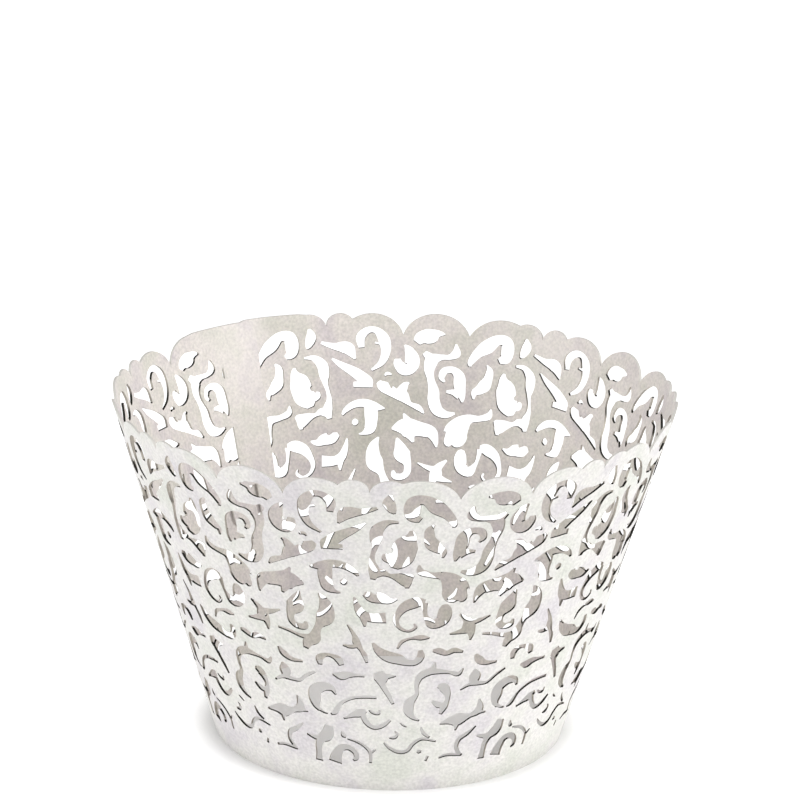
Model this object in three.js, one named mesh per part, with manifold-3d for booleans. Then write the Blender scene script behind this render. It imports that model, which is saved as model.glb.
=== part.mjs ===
// Laser-cut filigree cupcake wrapper: one strip of pearl card, rolled into a cone that is open at
// both ends and closed by a tongue in a slot. Millimetres, +Z up, -Y is the front. The origin is
// the centre of the bottom rim.
import * as THREE from 'three';
import Module from 'manifold-3d';

// Driving dimensions of the rolled wrapper
const BASE_RADIUS = 26;
const RIM_RADIUS = 41.5;
const HEIGHT = 52.7;
const CARD = 0.35;

// The filigree: how often the motif repeats, the angle at which the middle one starts, and the
// least card between a gap and the plain bands at the sheet's ends
const REPEATS = 7;
const MOTIF_ANGLE = THREE.MathUtils.degToRad(-21.7);
const BAND_WEB = 0.4;
const OUTLINE_TOLERANCE = 0.22;

// The seam at the back left: the over end lies on the under end, and its tongue dives through a
// slot
const OVER_BAND = 3.2;
const SLOT_WIDTH = 1.6;
const SLOT_WEB = 0.9;
const SLOT_FIT = 0.2;
const LAYER_GAP = 0.3;
const LIFT_LENGTH = 9;
const CORNER_RADIUS = 2.5;
const TONGUE_UP = 27;
const TONGUE_NECK = 4.6;
const TONGUE_HEAD = 7.4;
const TONGUE_LENGTH = 6.5;
const TONGUE_ROUNDING = 1;

// The motif is drawn once on a field of this size and stretched over one repeat of the sheet. The
// row of repeats starts part of the way across a motif.
const FIELD_WIDTH = 29.75;
const FIELD_HEIGHT = 54.9;
const ROW_START = 20.4;

// The rim of one repeat, as valley, crest, valley and so on, each scallop an arc through three.
// The plain bands reach to the crests beside the seam, with no valley between.
const CREST_BEFORE_SEAM = 17.2;
const CREST_AFTER_SEAM = 25.6;
const RIM = [
  [0, 51.2], [3.5, 54.5], [6.7, 53.7], [8.4, 54.7], [10.3, 52.7], [12.2, 54.7],
  [14.0, 54.3], [17.2, 54.6], [20.8, 51.5], [25.6, 54.7], [29.75, 51.2],
];

// The gaps of the filigree. Each is cut by one or more tapering strokes, and a stroke runs
// smoothly through stations of [across, up, width].
const GAPS = {
  leafLoop: [
    [[4.3, 45.5, 0], [2.9, 46.7, 1.0], [2.3, 48.5, 1.3], [2.6, 50.5, 1.6], [3.5, 51.8, 1.1],
      [4.7, 51.9, 1.1], [5.7, 50.8, 1.3], [5.6, 49.1, 0.8]],
  ],
  sailUnderBar: [
    [[9.8, 47.6, 0], [8.5, 46.5, 1.0], [6.6, 45.2, 1.6], [5, 43.8, 1.8], [4.4, 43.3, 1.1]],
    [[4.1, 43.2, 1.0], [5.4, 43.3, 1.1], [6.9, 43.3, 0.9]],
  ],
  windingChannel: [
    [[13.7, 47.9, 0], [12.3, 47.8, 1.0], [11.2, 46.6, 1.6], [11, 45, 1.5], [10.9, 43.7, 0.8],
      [10.6, 42.3, 0.6], [10.5, 41, 0.9], [10.8, 39.5, 1.5], [10.6, 38, 0.7]],
    [[10.9, 39.1, 1.6], [11.8, 39.2, 1.3], [12.7, 38.8, 0.7], [13.8, 38.5, 1.5], [15, 38, 2.3],
      [15.6, 37.8, 1.8]],
  ],
  halfMoon: [
    [[15.2, 46.5, 0], [15.2, 45.5, 1.4], [14.7, 44.3, 2.9], [14.4, 42.9, 3.2], [14, 41.6, 3.2],
      [13.5, 40.5, 2.0], [13.3, 40, 1.0]],
    [[13.3, 41.5, 1.8], [12.3, 41.8, 1.3], [12.1, 42.5, 0]],
  ],
  tongueLoop: [
    [[16.3, 48.2, 0.8], [15.4, 48.8, 1.7], [15.2, 50.3, 2.0], [15.6, 51.5, 1.8],
      [16.9, 51.5, 1.6], [18.2, 50.2, 2.1], [19.5, 48.9, 1.4], [20.3, 47.5, 0.9], [20.6, 46.3, 0]],
  ],
  forkUnderTongue: [
    [[17.9, 47.4, 0], [17.4, 46.5, 1.1], [17.5, 45.2, 1.4], [17.9, 44.1, 1.9], [18.6, 43.3, 1.5],
      [19.3, 42.7, 1.0], [19.3, 41.7, 0]],
  ],
  curlUnderRim: [
    [[20.9, 41, 0], [21.1, 42.1, 1.2], [21.5, 43.6, 1.8], [21.7, 45.1, 1.7], [22.6, 46, 1.2],
      [23.8, 45.8, 1.1], [24.2, 44.7, 0.9], [23.7, 44, 0]],
    [[21.4, 42.2, 1.6], [22.4, 42.5, 1.0], [23.4, 42.5, 0]],
  ],
  longChannel: [
    [[22.5, 50.2, 0], [22.4, 48.7, 1.3], [23.3, 48, 0.9], [24.4, 47.9, 1.0], [25.6, 47.4, 1.9],
      [26, 45.9, 1.5], [25.7, 44.3, 1.1], [25.2, 42.5, 1.6], [25.1, 41, 1.8], [24.5, 39.5, 1.8],
      [23.2, 38.9, 1.3], [21.8, 39.2, 0]],
  ],
  bigLoop: [
    [[24.1, 51.6, 0], [25.1, 51.6, 1.3], [26, 51.2, 2.4], [27.2, 50.8, 2.1], [27.9, 50, 1.1]],
  ],
  crossingHook: [
    [[29.5, 49.6, 0], [28.9, 48.8, 1.3], [28.4, 47.4, 2.0], [28.6, 46.1, 2.0], [29.5, 45.7, 2.0],
      [30.3, 46.6, 1.4], [30.4, 47.4, 0.8]],
  ],
  gapByDrop: [
    [[26.4, 38.8, 0], [27.3, 39.7, 1.0], [28.6, 40.3, 0.8], [29.7, 41.5, 2.0], [30.8, 41.9, 1.6],
      [32.3, 42.9, 1.8], [33.1, 43.7, 0.7]],
    [[30, 41.8, 1.8], [29.3, 43.2, 1.0], [28.7, 43.6, 0]],
  ],
  archOverEye: [
    [[2.4, 39.4, 0], [3.9, 39.7, 1.5], [5.4, 40.3, 1.4], [6.9, 40.1, 1.2], [8.1, 39.3, 0.9],
      [8.7, 38.5, 0]],
    [[4.6, 39.9, 1.6], [4.4, 38.6, 2.0], [4.4, 37.2, 1.8], [4.7, 36.1, 1.7], [5.6, 35.5, 0.7],
      [6.3, 35.4, 0]],
  ],
  wideFall: [
    [[16.4, 40.6, 0], [16.7, 39.4, 1.1], [18.1, 38.8, 1.0], [19.5, 38.6, 1.5], [20.5, 37.8, 2.6],
      [21.3, 36.5, 3.6], [21.6, 35.3, 3.6], [22.4, 34.4, 1.8], [22.5, 33.8, 0]],
  ],
  spiral: [
    [[17.5, 34.1, 1.0], [16.3, 34.1, 1.9], [14.9, 33.4, 1.7], [14, 32.1, 1.0], [13.7, 30.8, 0.8],
      [14.3, 29.6, 0.6], [15.5, 29.1, 0.5], [16.4, 29.7, 0.5], [16.2, 30.4, 0]],
    [[17.4, 34, 1.0], [17.5, 32.8, 0.7], [17.8, 31.5, 0.7], [18.7, 30.3, 1.7], [20, 30.7, 1.9],
      [20.3, 31.9, 2.1], [20.2, 33, 1.6], [20, 33.6, 0.6]],
  ],
  broadLeafGap: [
    [[24.2, 33.5, 0], [24.6, 34.9, 1.3], [25.3, 35.9, 2.1], [27, 36.3, 2.4], [28.6, 36.4, 3.2],
      [29.7, 36.5, 2.4], [31.1, 36.2, 0]],
  ],
  curlByLeaf: [
    [[30.3, 34.8, 0], [29.8, 33.4, 1.7], [29.4, 32.1, 2.6], [28.6, 30.7, 1.3], [28.6, 29.3, 1.1],
      [29.4, 28.6, 1.1], [30.5, 28.7, 1.1], [30.8, 29.6, 0]],
  ],
  gapByLeaf: [
    [[3.3, 34.9, 0], [4, 33.6, 1.5], [4.2, 32.1, 2.2], [3.8, 30.6, 2.6], [2.9, 29.2, 1.2],
      [2.4, 28, 1.3], [2, 26.9, 2.0], [1, 26, 1.7], [0.5, 24.8, 0.8]],
    [[1.4, 26.8, 1.2], [-0.3, 27, 0.7], [-1.8, 27.5, 0.6], [-3.5, 27.8, 0]],
  ],
  rightOfBar: [
    [[8.1, 34.8, 0], [8.4, 33.4, 0.9], [9.1, 31.9, 1.5], [10.4, 31.3, 1.6], [12.3, 31.4, 1.9]],
    [[9.3, 31.4, 1.3], [9.4, 29.7, 0]],
  ],
  swoosh: [
    [[10.5, 26.9, 0], [11.3, 25.6, 1.3], [12.6, 24.6, 1.9], [14.1, 24.1, 1.9], [15.4, 23.5, 1.2],
      [16.7, 23.5, 1.1], [17.4, 24.5, 1.2], [17.3, 25.7, 0.7]],
  ],
  star: [
    [[22.4, 31.7, 0], [23.6, 30.5, 1.2], [24, 29.3, 2.0], [24.5, 28.1, 1.1], [24.5, 26.9, 0]],
    [[23.6, 30, 1.2], [25.2, 30.2, 0.9], [27, 30.9, 0]],
    [[23.7, 28.8, 1.4], [22.5, 28.5, 0.8], [21.3, 28.3, 0]],
  ],
  aroundBulb: [
    [[24.1, 21.9, 0], [23.4, 21, 0.9], [22, 21.4, 0.6], [20.3, 21.7, 1.0], [18.8, 21.7, 1.4],
      [17.5, 20.8, 1.2], [17.1, 19.2, 0.7], [17.2, 17.7, 0.7], [16.2, 16.3, 1.6],
      [16.1, 14.8, 1.6], [16.8, 13.6, 0.9], [17.9, 12.9, 0]],
  ],
  insideBulb: [
    [[20.4, 19.1, 0.6], [21.3, 18.8, 1.6], [22, 17.7, 1.2], [22.2, 16.5, 0.8], [21.8, 15.2, 1.2],
      [21.3, 13.9, 0.6]],
    [[21.6, 15.4, 1.0], [20.7, 15.7, 1.1], [19.7, 16.4, 0]],
  ],
  wedge: [
    [[13.6, 16, 0], [12.8, 17.7, 0.8], [11.9, 19.4, 1.0], [11.7, 20.6, 2.2], [11.3, 21.8, 1.4]],
    [[11.7, 21, 1.3], [12.8, 21, 0.9], [13.9, 21.1, 0]],
  ],
  leftScroll: [
    [[4.6, 17.1, 0], [4, 18.1, 1.1], [2.6, 18.3, 1.7], [1.2, 17.4, 2.0], [1, 15.9, 2.1],
      [1.1, 14.7, 1.3], [1.6, 13.8, 0]],
  ],
  underArch: [
    [[5.6, 12.9, 0], [7, 13.6, 0.9], [8.2, 14.1, 1.5], [9.3, 14.7, 0.7]],
    [[8.7, 14.2, 0.9], [9.1, 12.9, 1.0], [9.8, 12, 0.9], [10.8, 11.6, 0.8], [12.1, 12.1, 0.8],
      [13.2, 13.1, 0]],
  ],
  footCurl: [
    [[3.5, 4.6, 2.4], [3.8, 5.8, 2.0], [4.7, 7.3, 1.4], [6, 7.6, 1.1], [7.2, 6.8, 1.0],
      [7.4, 5.8, 0.9], [6.8, 5.3, 0]],
  ],
  footPost: [
    [[0.5, 4.5, 1.4], [0.6, 5.9, 1.1], [0.7, 7.3, 1.2], [1.3, 8.6, 1.6], [2.5, 9.6, 2.2],
      [3, 11.3, 1.4]],
    [[-1.3, 9.1, 0], [-0.2, 8.8, 0.8], [1.1, 8.6, 1.1]],
  ],
  curvedTriangle: [
    [[21.4, 12.1, 0], [23, 12.5, 1.4], [24.6, 12.6, 2.4], [26.5, 13, 1.0], [28, 13.9, 1.6],
      [27.7, 15.9, 0]],
    [[27.4, 13.4, 1.0], [29.3, 13.3, 0]],
  ],
};

const PEARL_CARD = { color: 0xf4f2ee, roughness: 0.5, metalness: 0.0 };

// Sizes that follow from the ones above
const flare = Math.atan2(RIM_RADIUS - BASE_RADIUS, HEIGHT);
const slant = Math.hypot(RIM_RADIUS - BASE_RADIUS, HEIGHT);
const midRadius = (BASE_RADIUS + RIM_RADIUS) / 2;
const girth = 2 * Math.PI * midRadius;
const slotStart = OVER_BAND + SLOT_FIT;
const underBand = slotStart + SLOT_WIDTH + SLOT_WEB;
const repeatWidth = (girth - underBand) / REPEATS;
const middleRepeat = (REPEATS - 1) / 2;
const startAngle = MOTIF_ANGLE - onSheet({ x: 0, y: 0 }, middleRepeat).x / midRadius;
const lift = CARD + LAYER_GAP;
const overEnd = girth + OVER_BAND;
const neckEnd = girth + slotStart + SLOT_WIDTH + SLOT_FIT;

const wasm = await Module();
wasm.setup();

// A flat shape as a solid plate, for joining and cutting
function plate(points, low, high) {
  const geometry = new THREE.ExtrudeGeometry(new THREE.Shape(points), {
    depth: high - low, bevelEnabled: false,
  });
  geometry.translate(0, 0, low);
  const position = geometry.getAttribute('position');
  const corners = new Map();
  const vertProperties = [];
  const triVerts = [];
  for (let i = 0; i < position.count; i++) {
    const corner = [position.getX(i), position.getY(i), position.getZ(i)];
    const key = corner.map((value) => value.toFixed(5)).join();
    if (!corners.has(key)) {
      corners.set(key, corners.size);
      vertProperties.push(...corner);
    }
    triVerts.push(corners.get(key));
  }
  return new wasm.Manifold(new wasm.Mesh({
    numProp: 3,
    vertProperties: new Float32Array(vertProperties),
    triVerts: new Uint32Array(triVerts),
  }));
}

function join(plates) {
  return plates.reduce((whole, piece) => whole.add(piece));
}

// The closed outlines of a plate's upper face: the outer ones run counter-clockwise, holes clockwise
function outlines(solid, high) {
  const { numProp, vertProperties, triVerts } = solid.getMesh();
  const corner = (v) => vertProperties.subarray(v * numProp, v * numProp + 3);
  const next = new Map();
  for (let t = 0; t < triVerts.length; t += 3) {
    const face = [triVerts[t], triVerts[t + 1], triVerts[t + 2]];
    if (face.some((v) => Math.abs(corner(v)[2] - high) > 1e-4)) continue;
    face.forEach((v, i) => {
      const w = face[(i + 1) % 3];
      if (next.get(w)?.has(v)) next.get(w).delete(v);
      else next.set(v, (next.get(v) ?? new Set()).add(w));
    });
  }
  const loops = [];
  for (const [start, ends] of next) {
    while (ends.size > 0) {
      const loop = [];
      let v = start;
      do {
        const [w] = next.get(v);
        next.get(v).delete(w);
        loop.push(new THREE.Vector2(corner(v)[0], corner(v)[1]));
        v = w;
      } while (v !== start);
      loops.push(loop);
    }
  }
  return loops;
}

// Leaves out each point of a closed outline that bends it by less than the tolerance
function thin(loop, tolerance) {
  const far = loop.reduce((best, p, i) => (p.distanceTo(loop[0]) > loop[best].distanceTo(loop[0])
    ? i : best), 0);
  const closed = [...loop, loop[0]];
  const between = (from, to) => {
    const line = new THREE.Line3(
      new THREE.Vector3(closed[from].x, closed[from].y, 0),
      new THREE.Vector3(closed[to].x, closed[to].y, 0),
    );
    let worst = from;
    let error = tolerance;
    for (let i = from + 1; i < to; i++) {
      const p = new THREE.Vector3(closed[i].x, closed[i].y, 0);
      const distance = p.distanceTo(line.closestPointToPoint(p, true, new THREE.Vector3()));
      if (distance > error) [worst, error] = [i, distance];
    }
    return worst === from ? [closed[from]] : [...between(from, worst), ...between(worst, to)];
  };
  return [...between(0, far), ...between(far, loop.length)];
}

// Adds points along the straight stretches of an outline, so that they bend with the card: some
// round the foot, more where the tongue dives
function divide(loop) {
  const footStep = repeatWidth / 7;
  const neckStep = (neckEnd - overEnd) / 6;
  return loop.flatMap((from, i) => {
    const to = loop[(i + 1) % loop.length];
    const onNeck = Math.min(from.x, to.x) > overEnd - neckStep / 2;
    const run = Math.abs(to.x - from.x) - neckStep / 2;
    const parts = Math.max(1, Math.ceil(run / (onNeck ? neckStep : footStep)));
    return Array.from({ length: parts }, (_, k) => from.clone().lerp(to, k / parts));
  });
}

// The outline of one tapering stroke, half its width to each side of a smooth line
function strokeOutline(stations) {
  const stepsPerStation = 5;
  const line = new THREE.CatmullRomCurve3(
    stations.map(([across, up, width]) => new THREE.Vector3(across, up, width)),
    false, 'catmullrom', 0.5,
  ).getPoints(stepsPerStation * (stations.length - 1));
  const side = (sign) => line.map((p, i) => {
    const before = line[Math.max(i - 1, 0)];
    const after = line[Math.min(i + 1, line.length - 1)];
    const along = new THREE.Vector2(after.x - before.x, after.y - before.y).normalize();
    return new THREE.Vector2(p.x - sign * along.y * p.z / 2, p.y + sign * along.x * p.z / 2);
  });
  const outline = [...side(-1), ...side(1).reverse()];
  return outline.filter((p, i) => p.distanceTo(outline.at(i - 1)) > 1e-6);
}

// An arc from one point to another by way of a third, without its last point
function arcThrough([ax, ay], [bx, by], [cx, cy], steps) {
  const d = 2 * (ax * (by - cy) + bx * (cy - ay) + cx * (ay - by));
  const [a2, b2, c2] = [ax * ax + ay * ay, bx * bx + by * by, cx * cx + cy * cy];
  const x = (a2 * (by - cy) + b2 * (cy - ay) + c2 * (ay - by)) / d;
  const y = (a2 * (cx - bx) + b2 * (ax - cx) + c2 * (bx - ax)) / d;
  const radius = Math.hypot(ax - x, ay - y);
  const from = Math.atan2(ay - y, ax - x);
  let to = Math.atan2(cy - y, cx - x);
  if (to > from) to -= 2 * Math.PI;
  return Array.from({ length: steps }, (_, i) => {
    const angle = THREE.MathUtils.lerp(from, to, i / steps);
    return new THREE.Vector2(x + radius * Math.cos(angle), y + radius * Math.sin(angle));
  });
}

// The gaps of one motif, on its own field
function motifGaps() {
  return Object.values(GAPS).map((strokes) => {
    const cut = join(strokes.map((stations) => plate(strokeOutline(stations), 0, 1)));
    const [outline] = outlines(cut, 1).sort((a, b) => (
      THREE.ShapeUtils.area(b) - THREE.ShapeUtils.area(a)));
    return thin(outline, OUTLINE_TOLERANCE);
  });
}

// Carries a point of the motif's field to its place on the flat sheet
function onSheet({ x, y }, repeat) {
  return new THREE.Vector2(
    underBand + (repeat + (x - ROW_START) / FIELD_WIDTH) * repeatWidth, y / FIELD_HEIGHT * slant,
  );
}

// The sheet's outer edge, counter-clockwise from the foot of the under end
function sheetEdge() {
  const stepsPerScallop = [4, 2, 2, 4, 5];
  const firstCrest = onSheet({ x: CREST_AFTER_SEAM, y: FIELD_HEIGHT }, 0);
  const lastCrest = onSheet({ x: CREST_BEFORE_SEAM, y: FIELD_HEIGHT }, REPEATS);
  const scallops = [];
  for (let repeat = 0; repeat <= REPEATS; repeat++) {
    for (let i = 0; i < RIM.length - 1; i += 2) {
      scallops.push(...arcThrough(RIM[i], RIM[i + 1], RIM[i + 2], stepsPerScallop[i / 2])
        .map((point) => onSheet(point, repeat)));
    }
  }
  const betweenCrests = scallops.filter(({ x }) => x > firstCrest.x && x < lastCrest.x);
  return [
    new THREE.Vector2(0, 0), new THREE.Vector2(overEnd, 0), ...tongueEdge(),
    ...cornerArc(overEnd - CORNER_RADIUS, slant - CORNER_RADIUS, 0),
    lastCrest, ...betweenCrests.reverse(), firstCrest,
    ...cornerArc(CORNER_RADIUS, slant - CORNER_RADIUS, Math.PI / 2),
  ];
}

function cornerArc(x, y, from) {
  const steps = 3;
  return Array.from({ length: steps + 1 }, (_, i) => {
    const angle = from + i / steps * Math.PI / 2;
    return new THREE.Vector2(x + CORNER_RADIUS * Math.cos(angle),
      y + CORNER_RADIUS * Math.sin(angle));
  });
}

// The tongue on the over end, upwards: a neck that fits the slot and a wider, rounded head
function tongueEdge() {
  const headStart = neckEnd + (TONGUE_HEAD - TONGUE_NECK) / 2;
  const tip = overEnd + TONGUE_LENGTH;
  const half = [
    [overEnd, TONGUE_NECK / 2], [neckEnd, TONGUE_NECK / 2], [headStart, TONGUE_HEAD / 2],
    [tip - TONGUE_ROUNDING, (TONGUE_HEAD - TONGUE_ROUNDING) / 2], [tip, TONGUE_HEAD / 4],
  ];
  const upper = half.map(([x, up]) => new THREE.Vector2(x, TONGUE_UP + up));
  const lower = half.map(([x, up]) => new THREE.Vector2(x, TONGUE_UP - up));
  return [...lower, ...upper.reverse()];
}

// The flat sheet, as its outer outline and those of its gaps and its slot. A gap that would reach
// into a plain band is left out.
function cutSheet() {
  const motif = motifGaps();
  const gaps = [];
  for (let repeat = 0; repeat <= REPEATS; repeat++) {
    gaps.push(...motif.map((gap) => gap.map((point) => onSheet(point, repeat))));
  }
  const slotHalf = TONGUE_NECK / 2 + SLOT_FIT;
  const slot = [[0, -slotHalf], [SLOT_WIDTH, -slotHalf], [SLOT_WIDTH, slotHalf], [0, slotHalf]]
    .map(([across, up]) => new THREE.Vector2(slotStart + across, TONGUE_UP + up));
  const clearOfBands = gaps.filter((gap) => gap.every(({ x }) => (
    x > underBand + BAND_WEB && x < girth - BAND_WEB)));
  return [divide(sheetEdge()), [...clearOfBands, slot]];
}

// Swaps the diagonals of neighbouring triangles until none has a corner inside another's circle,
// so that no long triangle cuts across the bend of the card
function compact(points, triangles) {
  const inCircle = (a, b, c, d) => {
    const [ax, ay, bx, by, cx, cy] = [a.x - d.x, a.y - d.y, b.x - d.x, b.y - d.y,
      c.x - d.x, c.y - d.y];
    return (ax * ax + ay * ay) * (bx * cy - cx * by) - (bx * bx + by * by) * (ax * cy - cx * ay)
      + (cx * cx + cy * cy) * (ax * by - bx * ay) > 1e-7;
  };
  let swapped = true;
  while (swapped) {
    swapped = false;
    const sides = new Map();
    triangles.forEach((triangle, t) => triangle.forEach((v, i) => {
      sides.set(`${v},${triangle[(i + 1) % 3]}`, [t, triangle[(i + 2) % 3]]);
    }));
    const touched = new Set();
    for (const [side, [t, c]] of sides) {
      const [a, b] = side.split(',').map(Number);
      const twin = sides.get(`${b},${a}`);
      if (!twin || touched.has(t) || touched.has(twin[0])) continue;
      const [u, d] = twin;
      if (!inCircle(points[a], points[b], points[c], points[d])) continue;
      triangles[t] = [a, d, c];
      triangles[u] = [d, b, c];
      touched.add(t).add(u);
      swapped = true;
    }
  }
  return triangles;
}

// How far a place on the sheet stands out from the cone: the over end lies on the under end, and
// its tongue dives through the slot to the inside
function layer(x) {
  const rise = THREE.MathUtils.smoothstep(x, girth - LIFT_LENGTH, girth);
  const dive = THREE.MathUtils.smoothstep(x, girth + slotStart, girth + slotStart + SLOT_WIDTH);
  return lift * (rise - 2 * dive);
}

// Rolls a place on the flat sheet onto the cone, a given depth into the card from its inner face
function roll({ x, y }, depth) {
  const radius = BASE_RADIUS + (RIM_RADIUS - BASE_RADIUS) * y / slant
    + (layer(x) + depth) / Math.cos(flare);
  const angle = startAngle + x / midRadius;
  return [radius * Math.sin(angle), -radius * Math.cos(angle), HEIGHT * y / slant];
}

function rolledCard() {
  const [outer, holes] = cutSheet();
  const points = [outer, ...holes].flat();
  const faces = compact(points, THREE.ShapeUtils.triangulateShape(outer, holes));
  const back = points.length;
  const index = [];
  const edges = new Map();
  for (const [a, b, c] of faces) {
    index.push(a, b, c, back + a, back + c, back + b);
    for (const [v, w] of [[a, b], [b, c], [c, a]]) {
      if (!edges.delete(`${w},${v}`)) edges.set(`${v},${w}`, [v, w]);
    }
  }
  for (const [v, w] of edges.values()) {
    index.push(v, back + v, back + w, v, back + w, w);
  }
  const geometry = new THREE.BufferGeometry();
  geometry.setAttribute('position', new THREE.Float32BufferAttribute([
    ...points.flatMap((point) => roll(point, CARD)),
    ...points.flatMap((point) => roll(point, 0)),
  ], 3));
  geometry.setIndex(index);
  geometry.computeVertexNormals();
  return geometry;
}

const wrapper = new THREE.Mesh(rolledCard(), new THREE.MeshStandardMaterial({
  ...PEARL_CARD, side: THREE.DoubleSide,
}));
wrapper.name = 'wrapper';

const model = new THREE.Group();
model.add(wrapper);

export default model;
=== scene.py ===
"""A laser-cut filigree cupcake wrapper of pearl card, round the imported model. The card is drawn
flat in millimetres, cut, and then repeated, thickened and rolled by Geometry Nodes, in metres."""
import math

import bpy
import numpy as np
from mathutils import Matrix, Vector
from mathutils.geometry import delaunay_2d_cdt


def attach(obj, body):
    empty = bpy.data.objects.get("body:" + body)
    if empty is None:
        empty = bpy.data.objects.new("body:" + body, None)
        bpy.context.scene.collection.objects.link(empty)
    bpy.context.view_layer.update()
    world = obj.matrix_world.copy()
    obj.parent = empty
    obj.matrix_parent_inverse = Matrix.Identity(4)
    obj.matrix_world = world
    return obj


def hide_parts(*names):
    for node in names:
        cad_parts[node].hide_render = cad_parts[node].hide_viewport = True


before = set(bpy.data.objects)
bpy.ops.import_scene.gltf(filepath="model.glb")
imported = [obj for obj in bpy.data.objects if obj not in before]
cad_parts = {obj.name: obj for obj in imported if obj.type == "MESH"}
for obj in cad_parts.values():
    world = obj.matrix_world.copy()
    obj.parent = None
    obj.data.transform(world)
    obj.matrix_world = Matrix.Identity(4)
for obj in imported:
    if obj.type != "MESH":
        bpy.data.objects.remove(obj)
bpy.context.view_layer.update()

MM = 0.001

# The rolled wrapper, in millimetres
BASE_RADIUS = 26
RIM_RADIUS = 41.5
HEIGHT = 52.7
CARD = 0.35
REPEATS = 7
MOTIF_ANGLE = math.radians(-21.7)

# The seam at the back left: the over end lies on the under end, and its tongue dives through a
# slot
OVER_BAND = 3.2
SLOT_WIDTH = 1.6
SLOT_WEB = 0.9
SLOT_FIT = 0.2
LAYER_GAP = 0.3
LIFT_LENGTH = 9
CORNER_RADIUS = 2.5
TONGUE_UP = 27
TONGUE_NECK = 4.6
TONGUE_HEAD = 7.4
TONGUE_LENGTH = 6.5
TONGUE_SHOULDER = (0.5, 0.9)
TONGUE_CORNER = [(1, 0.6), (0.35, 1.2)]

# The motif is drawn once on a field of this size and stretched over one repeat of the sheet. The
# row of repeats starts part of the way across a motif.
FIELD_WIDTH = 29.75
FIELD_HEIGHT = 54.9
ROW_START = 20.4

# How finely the flat card is meshed, what counts as one point, and the smallest scrap of card
# that stays
STEPS_PER_STATION = 6
STEPS_PER_SCALLOP = [14, 8, 8, 14, 16]
STEPS_PER_CORNER = 9
MESH_PITCH = 1.1
RIM_MARGIN = 0.9
SAME_POINT = 0.004
SMALLEST_SCRAP = 0.6

# The rim of one repeat, as valley, crest, valley and so on. Each scallop is an arc through three
# of these points.
RIM = [
    (0, 51.2), (3.5, 54.5), (6.7, 53.7), (8.4, 54.7), (10.3, 52.7), (12.2, 54.7),
    (14.0, 54.3), (17.2, 54.6), (20.8, 51.5), (25.6, 54.7), (29.75, 51.2),
]

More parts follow.
